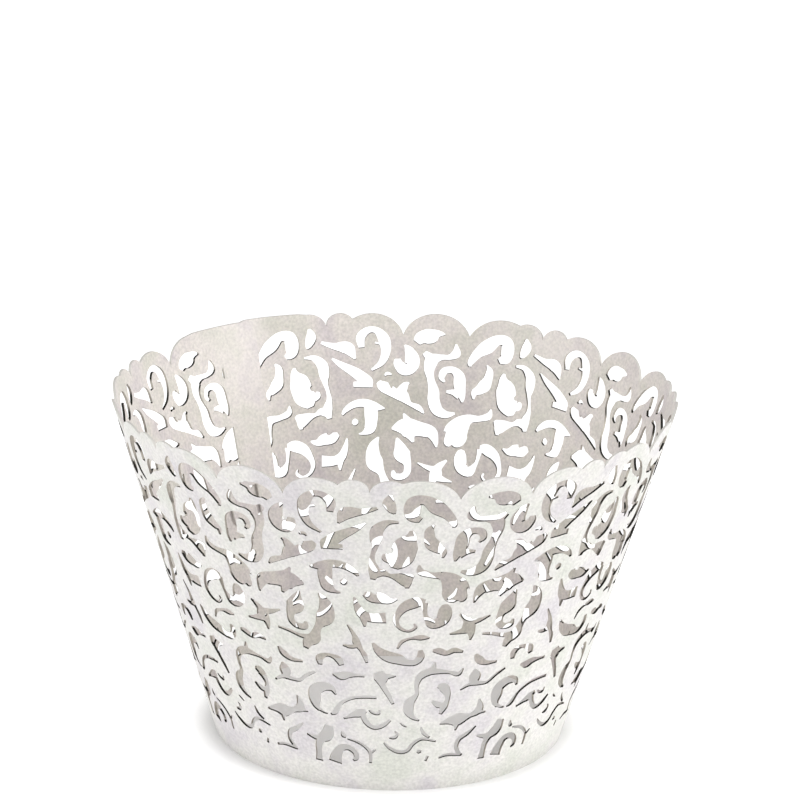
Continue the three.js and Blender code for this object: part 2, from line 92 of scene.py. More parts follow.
# The gaps of one motif. Each is cut by tapering strokes, and a stroke runs smoothly through
# stations of (across, up, width).
GAPS = {
    "leaf_loop": [
        [(4.3, 45.5, 0.4), (2.9, 46.7, 1.0), (2.3, 48.5, 1.3), (2.6, 50.5, 1.6), (3.5, 51.8, 1.1),
         (4.7, 51.9, 1.1), (5.7, 50.8, 1.3), (5.6, 49.1, 0.8)],
        [(3.1, 49.7, 0.4), (3.8, 49.9, 0.4)],
    ],
    "blob_triangle": [
        [(6.5, 47.3, 0.3), (7.6, 49.1, 2.0), (9.4, 49.5, 1.1), (11.2, 50.2, 0.5)],
    ],
    "small_loop": [
        [(12.7, 52.5, 0.4), (12.5, 51.2, 1.5), (12.9, 49.9, 1.1), (13.2, 49.3, 0.3)],
    ],
    "sail_under_bar": [
        [(9.8, 47.6, 0.3), (8.5, 46.5, 1.0), (6.6, 45.2, 1.6), (5.0, 43.8, 1.8), (4.4, 43.3, 1.1)],
        [(4.1, 43.2, 1.0), (5.4, 43.3, 1.1), (6.9, 43.3, 0.9)],
    ],
    "winding_channel": [
        [(13.7, 47.9, 0.4), (12.3, 47.8, 1.0), (11.2, 46.6, 1.6), (11.0, 45.0, 1.5),
         (10.9, 43.7, 0.8), (10.6, 42.3, 0.6), (10.5, 41.0, 0.9), (10.8, 39.5, 1.5),
         (10.6, 38.0, 0.7)],
        [(10.9, 39.1, 1.6), (11.8, 39.2, 1.3), (12.7, 38.8, 0.7), (13.8, 38.5, 1.5),
         (15.0, 38.0, 2.3), (15.6, 37.8, 1.8)],
        [(15.0, 38.9, 1.0), (15.0, 37.6, 1.2), (15.0, 36.6, 0.5)],
    ],
    "half_moon": [
        [(15.2, 46.5, 0.4), (15.2, 45.5, 1.4), (14.7, 44.3, 2.9), (14.4, 42.9, 3.2),
         (14.0, 41.6, 3.2), (13.5, 40.5, 2.0), (13.3, 40.0, 1.0)],
        [(13.3, 41.5, 1.8), (12.3, 41.8, 1.3), (12.1, 42.5, 0.5)],
    ],
    "tongue_loop": [
        [(16.3, 48.2, 0.8), (15.4, 48.8, 1.7), (15.2, 50.3, 2.0), (15.6, 51.5, 1.8),
         (16.9, 51.5, 1.6), (18.2, 50.2, 2.1), (19.5, 48.9, 1.4), (20.3, 47.5, 0.9),
         (20.3, 46.8, 0.4)],
    ],
    "fork_under_tongue": [
        [(17.9, 47.4, 0.3), (17.4, 46.5, 1.1), (17.5, 45.2, 1.4), (17.9, 44.1, 1.9),
         (18.6, 43.3, 1.5), (19.3, 42.7, 1.0), (19.3, 41.7, 0.3)],
    ],
    "curl_under_rim": [
        [(20.9, 41.0, 0.3), (21.1, 42.1, 1.2), (21.5, 43.6, 1.8), (21.7, 45.1, 1.7),
         (22.6, 46.0, 1.2), (23.8, 45.8, 1.1), (24.2, 44.7, 0.9), (23.7, 44.0, 0.4)],
        [(21.4, 42.2, 1.6), (22.4, 42.5, 1.0), (23.4, 42.5, 0.5)],
    ],
    "long_channel": [
        [(22.5, 50.2, 0.3), (22.4, 48.7, 1.3), (23.3, 48.0, 0.9), (24.4, 47.9, 1.0),
         (25.6, 47.4, 1.9), (26.0, 45.9, 1.5), (25.7, 44.3, 1.1), (25.2, 42.5, 1.6),
         (25.1, 41.0, 1.8), (24.5, 39.5, 1.8), (23.2, 38.9, 1.3), (21.8, 39.2, 0.4)],
        [(25.9, 47.7, 1.6), (26.8, 48.5, 0.8)],
    ],
    "big_loop": [
        [(24.1, 51.6, 0.3), (25.1, 51.6, 1.3), (26.0, 51.2, 2.4), (27.2, 50.8, 2.1),
         (27.9, 50.0, 1.1)],
    ],
    "crossing_hook": [
        [(29.5, 49.6, 0.3), (28.9, 48.8, 1.3), (28.4, 47.4, 2.0), (28.6, 46.1, 2.0),
         (29.5, 45.7, 2.0), (30.3, 46.6, 1.4), (30.4, 47.4, 0.8)],
    ],
    "gap_by_drop": [
        [(26.4, 38.8, 0.3), (27.3, 39.7, 1.0), (28.6, 40.3, 0.8), (29.7, 41.5, 2.0),
         (30.8, 41.9, 1.6), (32.3, 42.9, 1.8), (33.1, 43.7, 0.7)],
        [(30.0, 41.8, 1.8), (29.3, 43.2, 1.0), (28.7, 43.6, 0.3)],
    ],
    "arch_over_eye": [
        [(2.4, 39.4, 0.3), (3.9, 39.7, 1.5), (5.4, 40.3, 1.4), (6.9, 40.1, 1.2), (8.1, 39.3, 0.9),
         (8.7, 38.5, 0.4)],
        [(4.6, 39.9, 1.6), (4.4, 38.6, 2.0), (4.4, 37.2, 1.8), (4.7, 36.1, 1.7), (5.6, 35.5, 0.7),
         (6.3, 35.4, 0.3)],
    ],
    "eye": [
        [(6.3, 37.3, 0.5), (6.8, 37.3, 1.2), (7.3, 37.3, 0.5)],
    ],
    "lens": [
        [(9.4, 35.5, 0.8), (10.4, 35.0, 1.9), (11.6, 34.8, 1.9), (12.7, 34.4, 1.2),
         (13.8, 34.7, 0.3)],
    ],
    "wide_fall": [
        [(16.4, 40.6, 0.3), (16.7, 39.4, 1.1), (18.1, 38.8, 1.0), (19.5, 38.6, 1.5),
         (20.5, 37.8, 2.6), (21.3, 36.5, 3.6), (21.6, 35.3, 3.6), (22.4, 34.4, 1.8),
         (22.5, 33.8, 0.4)],
        [(21.2, 36.1, 2.4), (20.3, 34.9, 0.9)],
    ],
    "spiral": [
        [(17.5, 34.1, 1.0), (16.3, 34.1, 1.9), (14.9, 33.4, 1.7), (14.0, 32.1, 1.0),
         (13.7, 30.8, 0.8), (14.3, 29.6, 0.6), (15.5, 29.1, 0.5), (16.4, 29.7, 0.5),
         (16.2, 30.4, 0.3)],
        [(17.4, 34.0, 1.0), (17.5, 32.8, 0.7), (17.8, 31.5, 0.7), (18.7, 30.3, 1.7),
         (20.0, 30.7, 1.9), (20.3, 31.9, 2.1), (20.2, 33.0, 1.6), (20.0, 33.6, 0.6)],
    ],
    "broad_leaf_gap": [
        [(24.2, 33.5, 0.3), (24.6, 34.9, 1.3), (25.3, 35.9, 2.1), (27.0, 36.3, 2.4),
         (28.6, 36.4, 3.2), (29.7, 36.5, 2.4), (31.1, 36.2, 0.4)],
        [(28.3, 36.7, 2.0), (29.4, 38.7, 0.3)],
        [(28.6, 35.8, 2.0), (27.8, 34.1, 0.4)],
    ],
    "curl_by_leaf": [
        [(30.3, 34.8, 0.3), (29.8, 33.4, 1.7), (29.4, 32.1, 2.6), (28.6, 30.7, 1.3),
         (28.6, 29.3, 1.1), (29.4, 28.6, 1.1), (30.5, 28.7, 1.1), (30.8, 29.6, 0.4)],
    ],
    "gap_by_leaf": [
        [(3.3, 34.9, 0.3), (4.0, 33.6, 1.5), (4.2, 32.1, 2.2), (3.8, 30.6, 2.6), (2.9, 29.2, 1.2),
         (2.4, 28.0, 1.3), (2.0, 26.9, 2.0), (1.0, 26.0, 1.7), (0.5, 24.8, 0.8)],
        [(1.4, 26.8, 1.2), (-0.3, 27.0, 0.7), (-1.8, 27.5, 0.6), (-3.5, 27.8, 0.4)],
    ],
    "left_of_bar": [
        [(7.0, 29.9, 0.3), (7.9, 28.1, 0.7), (8.2, 26.8, 1.2), (8.8, 25.6, 0.7), (9.3, 24.6, 0.8),
         (9.6, 23.3, 0.4)],
        [(8.2, 26.2, 0.8), (7.2, 26.0, 0.7), (6.2, 26.2, 0.4)],
    ],
    "right_of_bar": [
        [(8.1, 34.8, 0.3), (8.4, 33.4, 0.9), (9.1, 31.9, 1.5), (10.4, 31.3, 1.6),
         (12.3, 31.4, 1.9)],
        [(9.3, 31.4, 1.3), (9.4, 29.7, 0.3)],
    ],
    "swoosh": [
        [(10.5, 26.9, 0.4), (11.3, 25.6, 1.3), (12.6, 24.6, 1.9), (14.1, 24.1, 1.9),
         (15.4, 23.5, 1.2), (16.7, 23.5, 1.1), (17.4, 24.5, 1.2), (17.3, 25.7, 0.7)],
    ],
    "over_swoosh": [
        [(14.0, 26.0, 0.3), (14.6, 27.2, 0.6), (15.9, 27.8, 0.5), (17.3, 27.9, 1.0),
         (18.5, 27.8, 0.3)],
    ],
    "star": [
        [(22.4, 31.7, 0.3), (23.6, 30.5, 1.2), (24.0, 29.3, 2.0), (24.5, 28.1, 1.1),
         (24.5, 26.9, 0.3)],
        [(23.6, 30.0, 1.2), (25.2, 30.2, 0.9), (27.0, 30.9, 0.3)],
        [(23.7, 28.8, 1.4), (22.5, 28.5, 0.8), (21.3, 28.3, 0.3)],
    ],
    "ripple": [
        [(19.1, 25.5, 0.5), (20.0, 25.4, 1.1), (21.2, 24.9, 0.9), (22.3, 25.3, 1.0),
         (23.7, 24.9, 0.4)],
    ],
    "around_bulb": [
        [(24.1, 21.9, 0.3), (23.4, 21.0, 0.9), (22.0, 21.4, 0.6), (20.3, 21.7, 1.0),
         (18.8, 21.7, 1.4), (17.5, 20.8, 1.2), (17.1, 19.2, 0.7), (17.2, 17.7, 0.7),
         (16.2, 16.3, 1.6), (16.1, 14.8, 1.6), (16.8, 13.6, 0.9), (17.9, 12.9, 0.3)],
        [(19.4, 21.8, 1.2), (19.6, 23.4, 0.3)],
    ],
    "inside_bulb": [
        [(20.4, 19.1, 0.6), (21.3, 18.8, 1.6), (22.0, 17.7, 1.2), (22.2, 16.5, 0.8),
         (21.8, 15.2, 1.2), (21.3, 13.9, 0.6)],
        [(21.6, 15.4, 1.0), (20.7, 15.7, 1.1), (19.7, 16.4, 0.4)],
    ],
    "wedge": [
        [(13.6, 16.0, 0.5), (12.8, 17.7, 0.8), (11.9, 19.4, 1.0), (11.7, 20.6, 2.2),
         (11.3, 21.8, 1.4)],
        [(11.7, 21.0, 1.3), (12.8, 21.0, 0.9), (13.9, 21.1, 0.3)],
    ],
    "flat_triangle": [
        [(4.3, 20.8, 0.4), (5.6, 20.6, 1.5), (6.7, 20.9, 1.2), (8.0, 20.9, 0.6), (9.2, 20.9, 0.5)],
    ],
    "small_arch": [
        [(2.5, 22.2, 0.7), (2.5, 23.4, 1.2), (3.5, 24.1, 0.7), (4.5, 24.0, 0.8), (5.4, 23.5, 1.3),
         (5.8, 22.5, 0.8)],
    ],
    "teardrop": [
        [(25.7, 24.2, 0.5), (26.4, 23.2, 1.3), (27.6, 22.4, 0.9), (29.5, 22.3, 0.4)],
    ],
    "diamond_and_sickle": [
        [(26.0, 21.5, 0.4), (26.2, 20.3, 2.0), (26.2, 18.9, 1.3)],
        [(24.1, 18.0, 0.3), (25.5, 18.8, 0.7), (27.1, 18.8, 0.8), (28.5, 18.8, 0.6),
         (29.8, 19.9, 0.6), (31.3, 20.8, 0.4)],
    ],
    "left_scroll": [
        [(4.6, 17.1, 0.4), (4.0, 18.1, 1.1), (2.6, 18.3, 1.7), (1.2, 17.4, 2.0), (1.0, 15.9, 2.1),
         (1.1, 14.7, 1.3), (1.6, 13.8, 0.5)],
        [(1.3, 14.2, 0.7), (2.4, 13.6, 0.4), (3.0, 13.5, 0.3)],
    ],
    "arch_slit": [
        [(3.5, 13.4, 0.4), (4.3, 14.0, 0.9), (5.4, 15.7, 0.6), (7.3, 16.8, 0.6), (9.2, 17.1, 0.6),
         (11.0, 17.1, 0.5)],
    ],
    "under_arch": [
        [(5.6, 12.9, 0.3), (7.0, 13.6, 0.9), (8.2, 14.1, 1.5), (9.3, 14.7, 0.7)],
        [(8.7, 14.2, 0.9), (9.1, 12.9, 1.0), (9.8, 12.0, 0.9), (10.8, 11.6, 0.8),
         (12.1, 12.1, 0.8), (13.2, 13.1, 0.5)],
    ],
    "half_ring": [
        [(6.0, 9.2, 0.3), (7.6, 8.8, 0.5), (9.0, 8.0, 0.6), (9.9, 6.8, 0.6), (9.9, 5.0, 0.5)],
        [(9.9, 6.8, 0.5), (10.8, 7.6, 0.3)],
    ],
    "foot_curl": [
        [(3.5, 4.6, 2.4), (3.8, 5.8, 2.0), (4.7, 7.3, 1.4), (6.0, 7.6, 1.1), (7.2, 6.8, 1.0),
         (7.4, 5.8, 0.9), (6.8, 5.3, 0.4)],
    ],
    "foot_post": [
        [(0.5, 4.5, 1.4), (0.6, 5.9, 1.1), (0.7, 7.3, 1.2), (1.3, 8.6, 1.6), (2.5, 9.6, 2.2),
         (3.0, 11.3, 1.4)],
        [(-1.3, 9.1, 0.3), (-0.2, 8.8, 0.8), (1.1, 8.6, 1.1)],
    ],
    "wave": [
        [(12.2, 8.9, 0.3), (13.1, 8.0, 0.6), (14.7, 7.2, 0.7), (16.2, 7.4, 0.7), (17.2, 8.7, 0.7),
         (18.7, 9.5, 0.6), (21.1, 8.9, 0.3)],
    ],
    "curved_triangle": [
        [(21.4, 12.1, 0.3), (23.0, 12.5, 1.4), (24.6, 12.6, 2.4), (26.5, 13.0, 1.0),
         (28.0, 13.9, 1.6), (27.7, 15.9, 0.3)],
        [(27.4, 13.4, 1.0), (29.3, 13.3, 0.3)],
        [(24.4, 12.4, 1.6), (24.3, 10.6, 0.3)],
    ],
    "foot_hook": [
        [(28.0, 10.9, 0.3), (26.7, 9.8, 0.8), (25.3, 8.9, 0.9), (24.9, 7.6, 0.8), (25.4, 6.5, 0.7),
         (26.2, 5.8, 0.4)],
        [(21.9, 5.8, 0.4), (23.5, 6.2, 0.6), (26.0, 5.9, 0.5)],
    ],
    "slit_under_hook": [
        [(31.2, 44.8, 0.3), (31.8, 45.0, 0.6), (32.2, 44.6, 0.3)],
    ],
    "tick_under_arch": [
        [(9.8, 14.8, 0.3), (10.4, 14.3, 0.5), (11.3, 14.2, 0.5), (11.5, 14.9, 0.3)],
    ],
    "tick_over_ring": [
        [(5.2, 10.5, 0.3), (5.3, 9.8, 0.8), (5.8, 9.5, 0.4)],
    ],
    "comma_over_wave": [
        [(13.1, 9.8, 0.3), (14.0, 9.9, 0.7), (14.4, 10.5, 0.5), (14.0, 11.1, 0.2)],
    ],
    "dot_under_wave": [
        [(17.9, 7.2, 0.4), (18.3, 7.2, 0.8), (18.7, 7.2, 0.4)],
    ],
    "slit_over_wave": [
        [(18.3, 11.7, 0.3), (18.8, 10.6, 0.6), (19.9, 9.7, 0.4)],
    ],
    "slit_by_wave": [
        [(19.9, 6.3, 0.5), (19.6, 5.4, 0.5)],
    ],
    "slit_under_tick": [
        [(14.8, 12.6, 0.2), (15.3, 12.2, 0.4), (15.9, 11.8, 0.2)],
    ],
}

# Small thorns of card that stand into the gaps, drawn in the same way
THORNS = [
    [(12.2, 43.4, 0.5), (12.8, 43.0, 0.8), (13.1, 42.9, 0.4)],
    [(31.3, 43.5, 0.7), (31.2, 42.7, 0.2)],
    [(10.7, 36.0, 0.9), (11.0, 35.5, 0.3)],
]

# The photograph's camera: place, tilt, roll, focal length in pixels and optical centre
PHOTO_SIZE = 800
SENSOR_WIDTH = 36
CAMERA_PLACE = Vector((0, -0.4815, 0.2027))
CAMERA_PITCH = math.radians(17.487)
CAMERA_ROLL = 0.0187
FOCAL_PIXELS = 3416.7
OPTICAL_CENTRE_X = 394.4

# The floor is white but for a ring of shade round the foot, out to this radius in metres
FLOOR_REACH = 3.0
SHADE_RADIUS = 0.031
FLOOR_GLOW = 0.46

# Sizes that follow from the ones above
flare = math.atan2(RIM_RADIUS - BASE_RADIUS, HEIGHT)
slant = math.hypot(RIM_RADIUS - BASE_RADIUS, HEIGHT)
mid_radius = (BASE_RADIUS + RIM_RADIUS) / 2
girth = 2 * math.pi * mid_radius
slot_start = OVER_BAND + SLOT_FIT
under_band = slot_start + SLOT_WIDTH + SLOT_WEB
repeat_width = (girth - under_band) / REPEATS
motif_start = under_band + ((REPEATS - 1) / 2 - ROW_START / FIELD_WIDTH) * repeat_width
start_angle = MOTIF_ANGLE - motif_start / mid_radius
over_end = girth + OVER_BAND
neck_end = girth + slot_start + SLOT_WIDTH + SLOT_FIT
field_scale = np.array([repeat_width / FIELD_WIDTH, slant / FIELD_HEIGHT])


def smooth_line(stations):
    """A Catmull-Rom line through the stations, STEPS_PER_STATION points to each."""
    p = np.array(stations, float)
    p = np.vstack([2 * p[0] - p[1], p, 2 * p[-1] - p[-2]])
    line = []
    for before, start, end, after in zip(p, p[1:], p[2:], p[3:]):
        leave, arrive = (end - before) / 2, (after - start) / 2
        for t in np.arange(STEPS_PER_STATION) / STEPS_PER_STATION:
            line.append(start + leave * t + (3 * (end - start) - 2 * leave - arrive) * t ** 2
                        + (2 * (start - end) + leave + arrive) * t ** 3)
    return np.array(line + [p[-2]])


def stroke_outline(stations):
    """The closed outline of a tapering stroke, half its width to each side of its line."""
    line = smooth_line(stations)
    along = np.gradient(line[:, :2], axis=0)
    along /= np.linalg.norm(along, axis=1)[:, None]
    side = np.column_stack([-along[:, 1], along[:, 0]]) * line[:, 2:] / 2
    return np.vstack([line[:, :2] - side, (line[:, :2] + side)[::-1]])


def arc_through(a, b, c, steps):
    """Points of an arc from a by way of b to c, without c."""
    (ax, ay), (bx, by), (cx, cy) = a, b, c
    d = 2 * (ax * (by - cy) + bx * (cy - ay) + cx * (ay - by))
    a2, b2, c2 = ax * ax + ay * ay, bx * bx + by * by, cx * cx + cy * cy
    x = (a2 * (by - cy) + b2 * (cy - ay) + c2 * (ay - by)) / d
    y = (a2 * (cx - bx) + b2 * (ax - cx) + c2 * (bx - ax)) / d
    radius = math.hypot(ax - x, ay - y)
    first = math.atan2(ay - y, ax - x)
    last = math.atan2(cy - y, cx - x)
    if last > first:
        last -= 2 * math.pi
    angles = first + (last - first) * np.arange(steps) / steps
    return np.column_stack([x + radius * np.cos(angles), y + radius * np.sin(angles)])


def mesh_points(width, height):
    """Staggered points over a stretch of card, so that it bends evenly when it is rolled."""
    rows = round(height / MESH_PITCH)
    columns = round(width / MESH_PITCH)
    return [((column + (row % 2) / 2) * width / columns, row * height / rows)
            for row in range(1, rows) for column in range(1, columns)]


def cut_card(sheet, cuts, thorns, inner_points):
    """The flat card inside the sheet's outline less the cuts, as vertices and triangles."""
    outlines = [sheet] + cuts + thorns
    points = [Vector(p) for outline in outlines for p in outline]
    starts = np.cumsum([0] + [len(outline) for outline in outlines])
    faces = [list(range(first, last)) for first, last in zip(starts, starts[1:])]
    points += [Vector(p) for p in inner_points]
    flat, _, triangles, _, _, origins = delaunay_2d_cdt(points, [], faces, 0, 1e-4)
    cut_faces = set(range(1, 1 + len(cuts)))
    thorn_faces = set(range(1 + len(cuts), len(outlines)))
    card = [list(t) for t, origin in zip(triangles, origins)
            if 0 in origin and (not cut_faces & set(origin) or thorn_faces & set(origin))]
    return without_scraps(np.array([tuple(p) for p in flat]), card)


def without_scraps(flat, card):
    """Leaves out what a laser would drop: loose bits of card smaller than SMALLEST_SCRAP."""
    owner = list(range(len(flat)))

    def root(v):
        while owner[v] != v:
            owner[v] = owner[owner[v]]
            v = owner[v]
        return v

    for a, b, c in card:
        owner[root(a)] = root(b)
        owner[root(b)] = root(c)
    area = {}
    for triangle in card:
        a, b, c = flat[triangle]
        key = root(triangle[0])
        area[key] = area.get(key, 0) + abs(np.cross(b - a, c - a)) / 2
    return flat, [t for t in card if area[root(t[0])] > SMALLEST_SCRAP]


def rim_line():
    """The rim from the start of the row to the end of its first repeat, on the motif's field."""
    arcs = np.vstack([arc_through(*RIM[2 * i:2 * i + 3], steps)
                      for i, steps in enumerate(STEPS_PER_SCALLOP)])
    line = np.vstack([arcs, arcs + [FIELD_WIDTH, 0]])
    ends = np.array([ROW_START, ROW_START + FIELD_WIDTH])
    heights = np.interp(ends, *line.T)
    between = line[(line[:, 0] > ends[0] + 0.1) & (line[:, 0] < ends[1] - 0.1)]
    return np.vstack([[ends[0], heights[0]], between, [ends[1], heights[0]]])


def motif_card():
    """One repeat of the lace. The motif's neighbours to the left and right reach into it."""
    heights = np.arange(1, round(FIELD_HEIGHT / MESH_PITCH) - 2) * MESH_PITCH
    foot = ROW_START + np.linspace(0, FIELD_WIDTH, round(FIELD_WIDTH / MESH_PITCH) + 1)
    left = np.column_stack([np.full_like(heights, ROW_START), heights])
    sheet = np.vstack([
        np.column_stack([foot, np.zeros_like(foot)]),
        left + [FIELD_WIDTH, 0], rim_line()[::-1], left[::-1],
    ])

    def copies(strokes):
        outlines = [stroke_outline(stations) + [shift, 0] for stations in strokes
                    for shift in (0, FIELD_WIDTH)]
        return [o for o in outlines if o[:, 0].max() > foot[0] and o[:, 0].min() < foot[-1]]

    strokes = [stations for gap in GAPS.values() for stations in gap]
    inner = [(ROW_START + x, y) for x, y in mesh_points(FIELD_WIDTH, FIELD_HEIGHT)
             if x < FIELD_WIDTH - MESH_PITCH / 3 and y < FIELD_HEIGHT - RIM_MARGIN]
    flat, card = cut_card(sheet, copies(strokes), copies(THORNS), inner)
    return (flat - [ROW_START, 0]) * field_scale, card


def corner_arc(x, y, first):
    """A quarter round of a band's upper corner about (x, y), from the angle first."""
    angles = first + np.linspace(0, math.pi / 2, STEPS_PER_CORNER)
    return np.column_stack([x + CORNER_RADIUS * np.cos(angles), y + CORNER_RADIUS * np.sin(angles)])


def level_top(start, end):
    """Points along the plain top of a band, without its ends."""
    x = np.linspace(start, end, round(abs(end - start) / MESH_PITCH) + 1)[1:-1]
    return np.column_stack([x, np.full_like(x, slant)])


def band_card(lace_edge):
    """The two plain end bands, with the slot in the under one and the tongue on the over one.
    Both meet the lace along lace_edge, the heights of the lace's own points there, and reach
    over its last scallop to that one's crest."""
    edge = np.array(sorted(lace_edge))
    rim = (rim_line() - [ROW_START, 0]) * field_scale + [under_band, 0]
    first_scallop, last_scallop = rim[:len(rim) // 2], rim[len(rim) // 2:]
    first_scallop = first_scallop[1:first_scallop[:, 1].argmax() + 1]
    last_scallop = last_scallop[last_scallop[:, 1].argmax():-1]
    last_scallop = last_scallop + [(REPEATS - 1) * repeat_width, 0]
    up = np.linspace(0, slant - CORNER_RADIUS, round(slant / MESH_PITCH))
    slot_half = TONGUE_NECK / 2 + SLOT_FIT
    slot = np.array([(slot_start, -slot_half), (slot_start + SLOT_WIDTH, -slot_half),
                     (slot_start + SLOT_WIDTH, slot_half), (slot_start, slot_half)])
    under = np.vstack([
        [(0, 0), (under_band / 2, 0)],
        np.column_stack([np.full_like(edge, under_band), edge]),
        first_scallop,
        level_top(first_scallop[-1, 0], CORNER_RADIUS),
        corner_arc(CORNER_RADIUS, slant - CORNER_RADIUS, math.pi / 2),
        np.column_stack([np.zeros_like(up), up])[::-1][1:-1],
    ])
    neck = np.linspace(over_end, neck_end, STEPS_PER_CORNER)
    head = neck_end + (TONGUE_HEAD - TONGUE_NECK) / 2
    tip = over_end + TONGUE_LENGTH
    shoulder_on, shoulder_out = TONGUE_SHOULDER
    lower = np.array([(x, -TONGUE_NECK / 2) for x in neck] + [
        (neck_end + shoulder_on, -TONGUE_NECK / 2 - shoulder_out), (head, -TONGUE_HEAD / 2),
        *((tip - back, up_in - TONGUE_HEAD / 2) for back, up_in in TONGUE_CORNER),
        (tip, -TONGUE_HEAD / 4),
    ])
    tongue = np.vstack([lower, (lower * [1, -1])[::-1]]) + [0, TONGUE_UP]
    over = np.vstack([
        np.column_stack([np.full_like(edge, girth), edge])[::-1],
        [(girth + OVER_BAND / 2, 0), (over_end, 0)],
        [(over_end, y) for y in up if 0 < y < TONGUE_UP - TONGUE_NECK / 2 - 0.5],
        tongue,
        [(over_end, y) for y in up if TONGUE_UP + TONGUE_NECK / 2 + 0.5 < y < up[-1]],
        corner_arc(over_end - CORNER_RADIUS, slant - CORNER_RADIUS, 0),
        level_top(over_end - CORNER_RADIUS, last_scallop[0, 0]),
        last_scallop,
    ])
    tongue_points = [(x, TONGUE_UP + y) for x in neck[1:] for y in (-1.4, 0, 1.4)]
    band_points = [(under_band * 0.3, y) for y in up[1:]]
    band_points += [(girth + OVER_BAND / 2, y) for y in up[1:]]
    under_flat, under_faces = cut_card(under, [slot + [0, TONGUE_UP]], [], band_points)
    over_flat, over_faces = cut_card(over, [], [], tongue_points + band_points)
    shifted = [[v + len(under_flat) for v in face] for face in over_faces]
    return np.vstack([under_flat, over_flat]), under_faces + shifted


def flat_object(name, flat, faces, outer_edge):
    """A flat mesh in metres, with only the vertices that its faces use. Those on the outer edge
    of the card are marked, because its cut is painted paler than that of the gaps, whose walls are
    darkened partly as scorch and partly as painted shade."""
    used = sorted({v for face in faces for v in face})
    index = {v: i for i, v in enumerate(used)}
    mesh = bpy.data.meshes.new(name)
    mesh.from_pydata([(flat[v][0] * MM, flat[v][1] * MM, 0) for v in used], [],
                     [[index[v] for v in face] for face in faces])
    marks = mesh.attributes.new("outer_edge", "FLOAT", "POINT")
    for v, mark in zip(used, marks.data):
        mark.value = np.abs(outer_edge - flat[v]).sum(axis=1).min() < 0.01
    obj = bpy.data.objects.new(name, mesh)
    bpy.context.scene.collection.objects.link(obj)
    return obj


def node(tree, kind, inputs=(), **settings):
    """Adds a node, sets its properties, and links or sets its inputs in order."""
    made = tree.nodes.new(kind)
    for name, value in settings.items():
        setattr(made, name, value)
    pairs = inputs.items() if isinstance(inputs, dict) else enumerate(inputs)
    for key, value in pairs:
        if isinstance(value, bpy.types.NodeSocket):
            tree.links.new(value, made.inputs[key])
        elif value is not None:
            made.inputs[key].default_value = value
    return made


def math_node(tree, operation, *values):
    """A Math node's result."""
    return node(tree, "ShaderNodeMath", values, operation=operation).outputs[0]


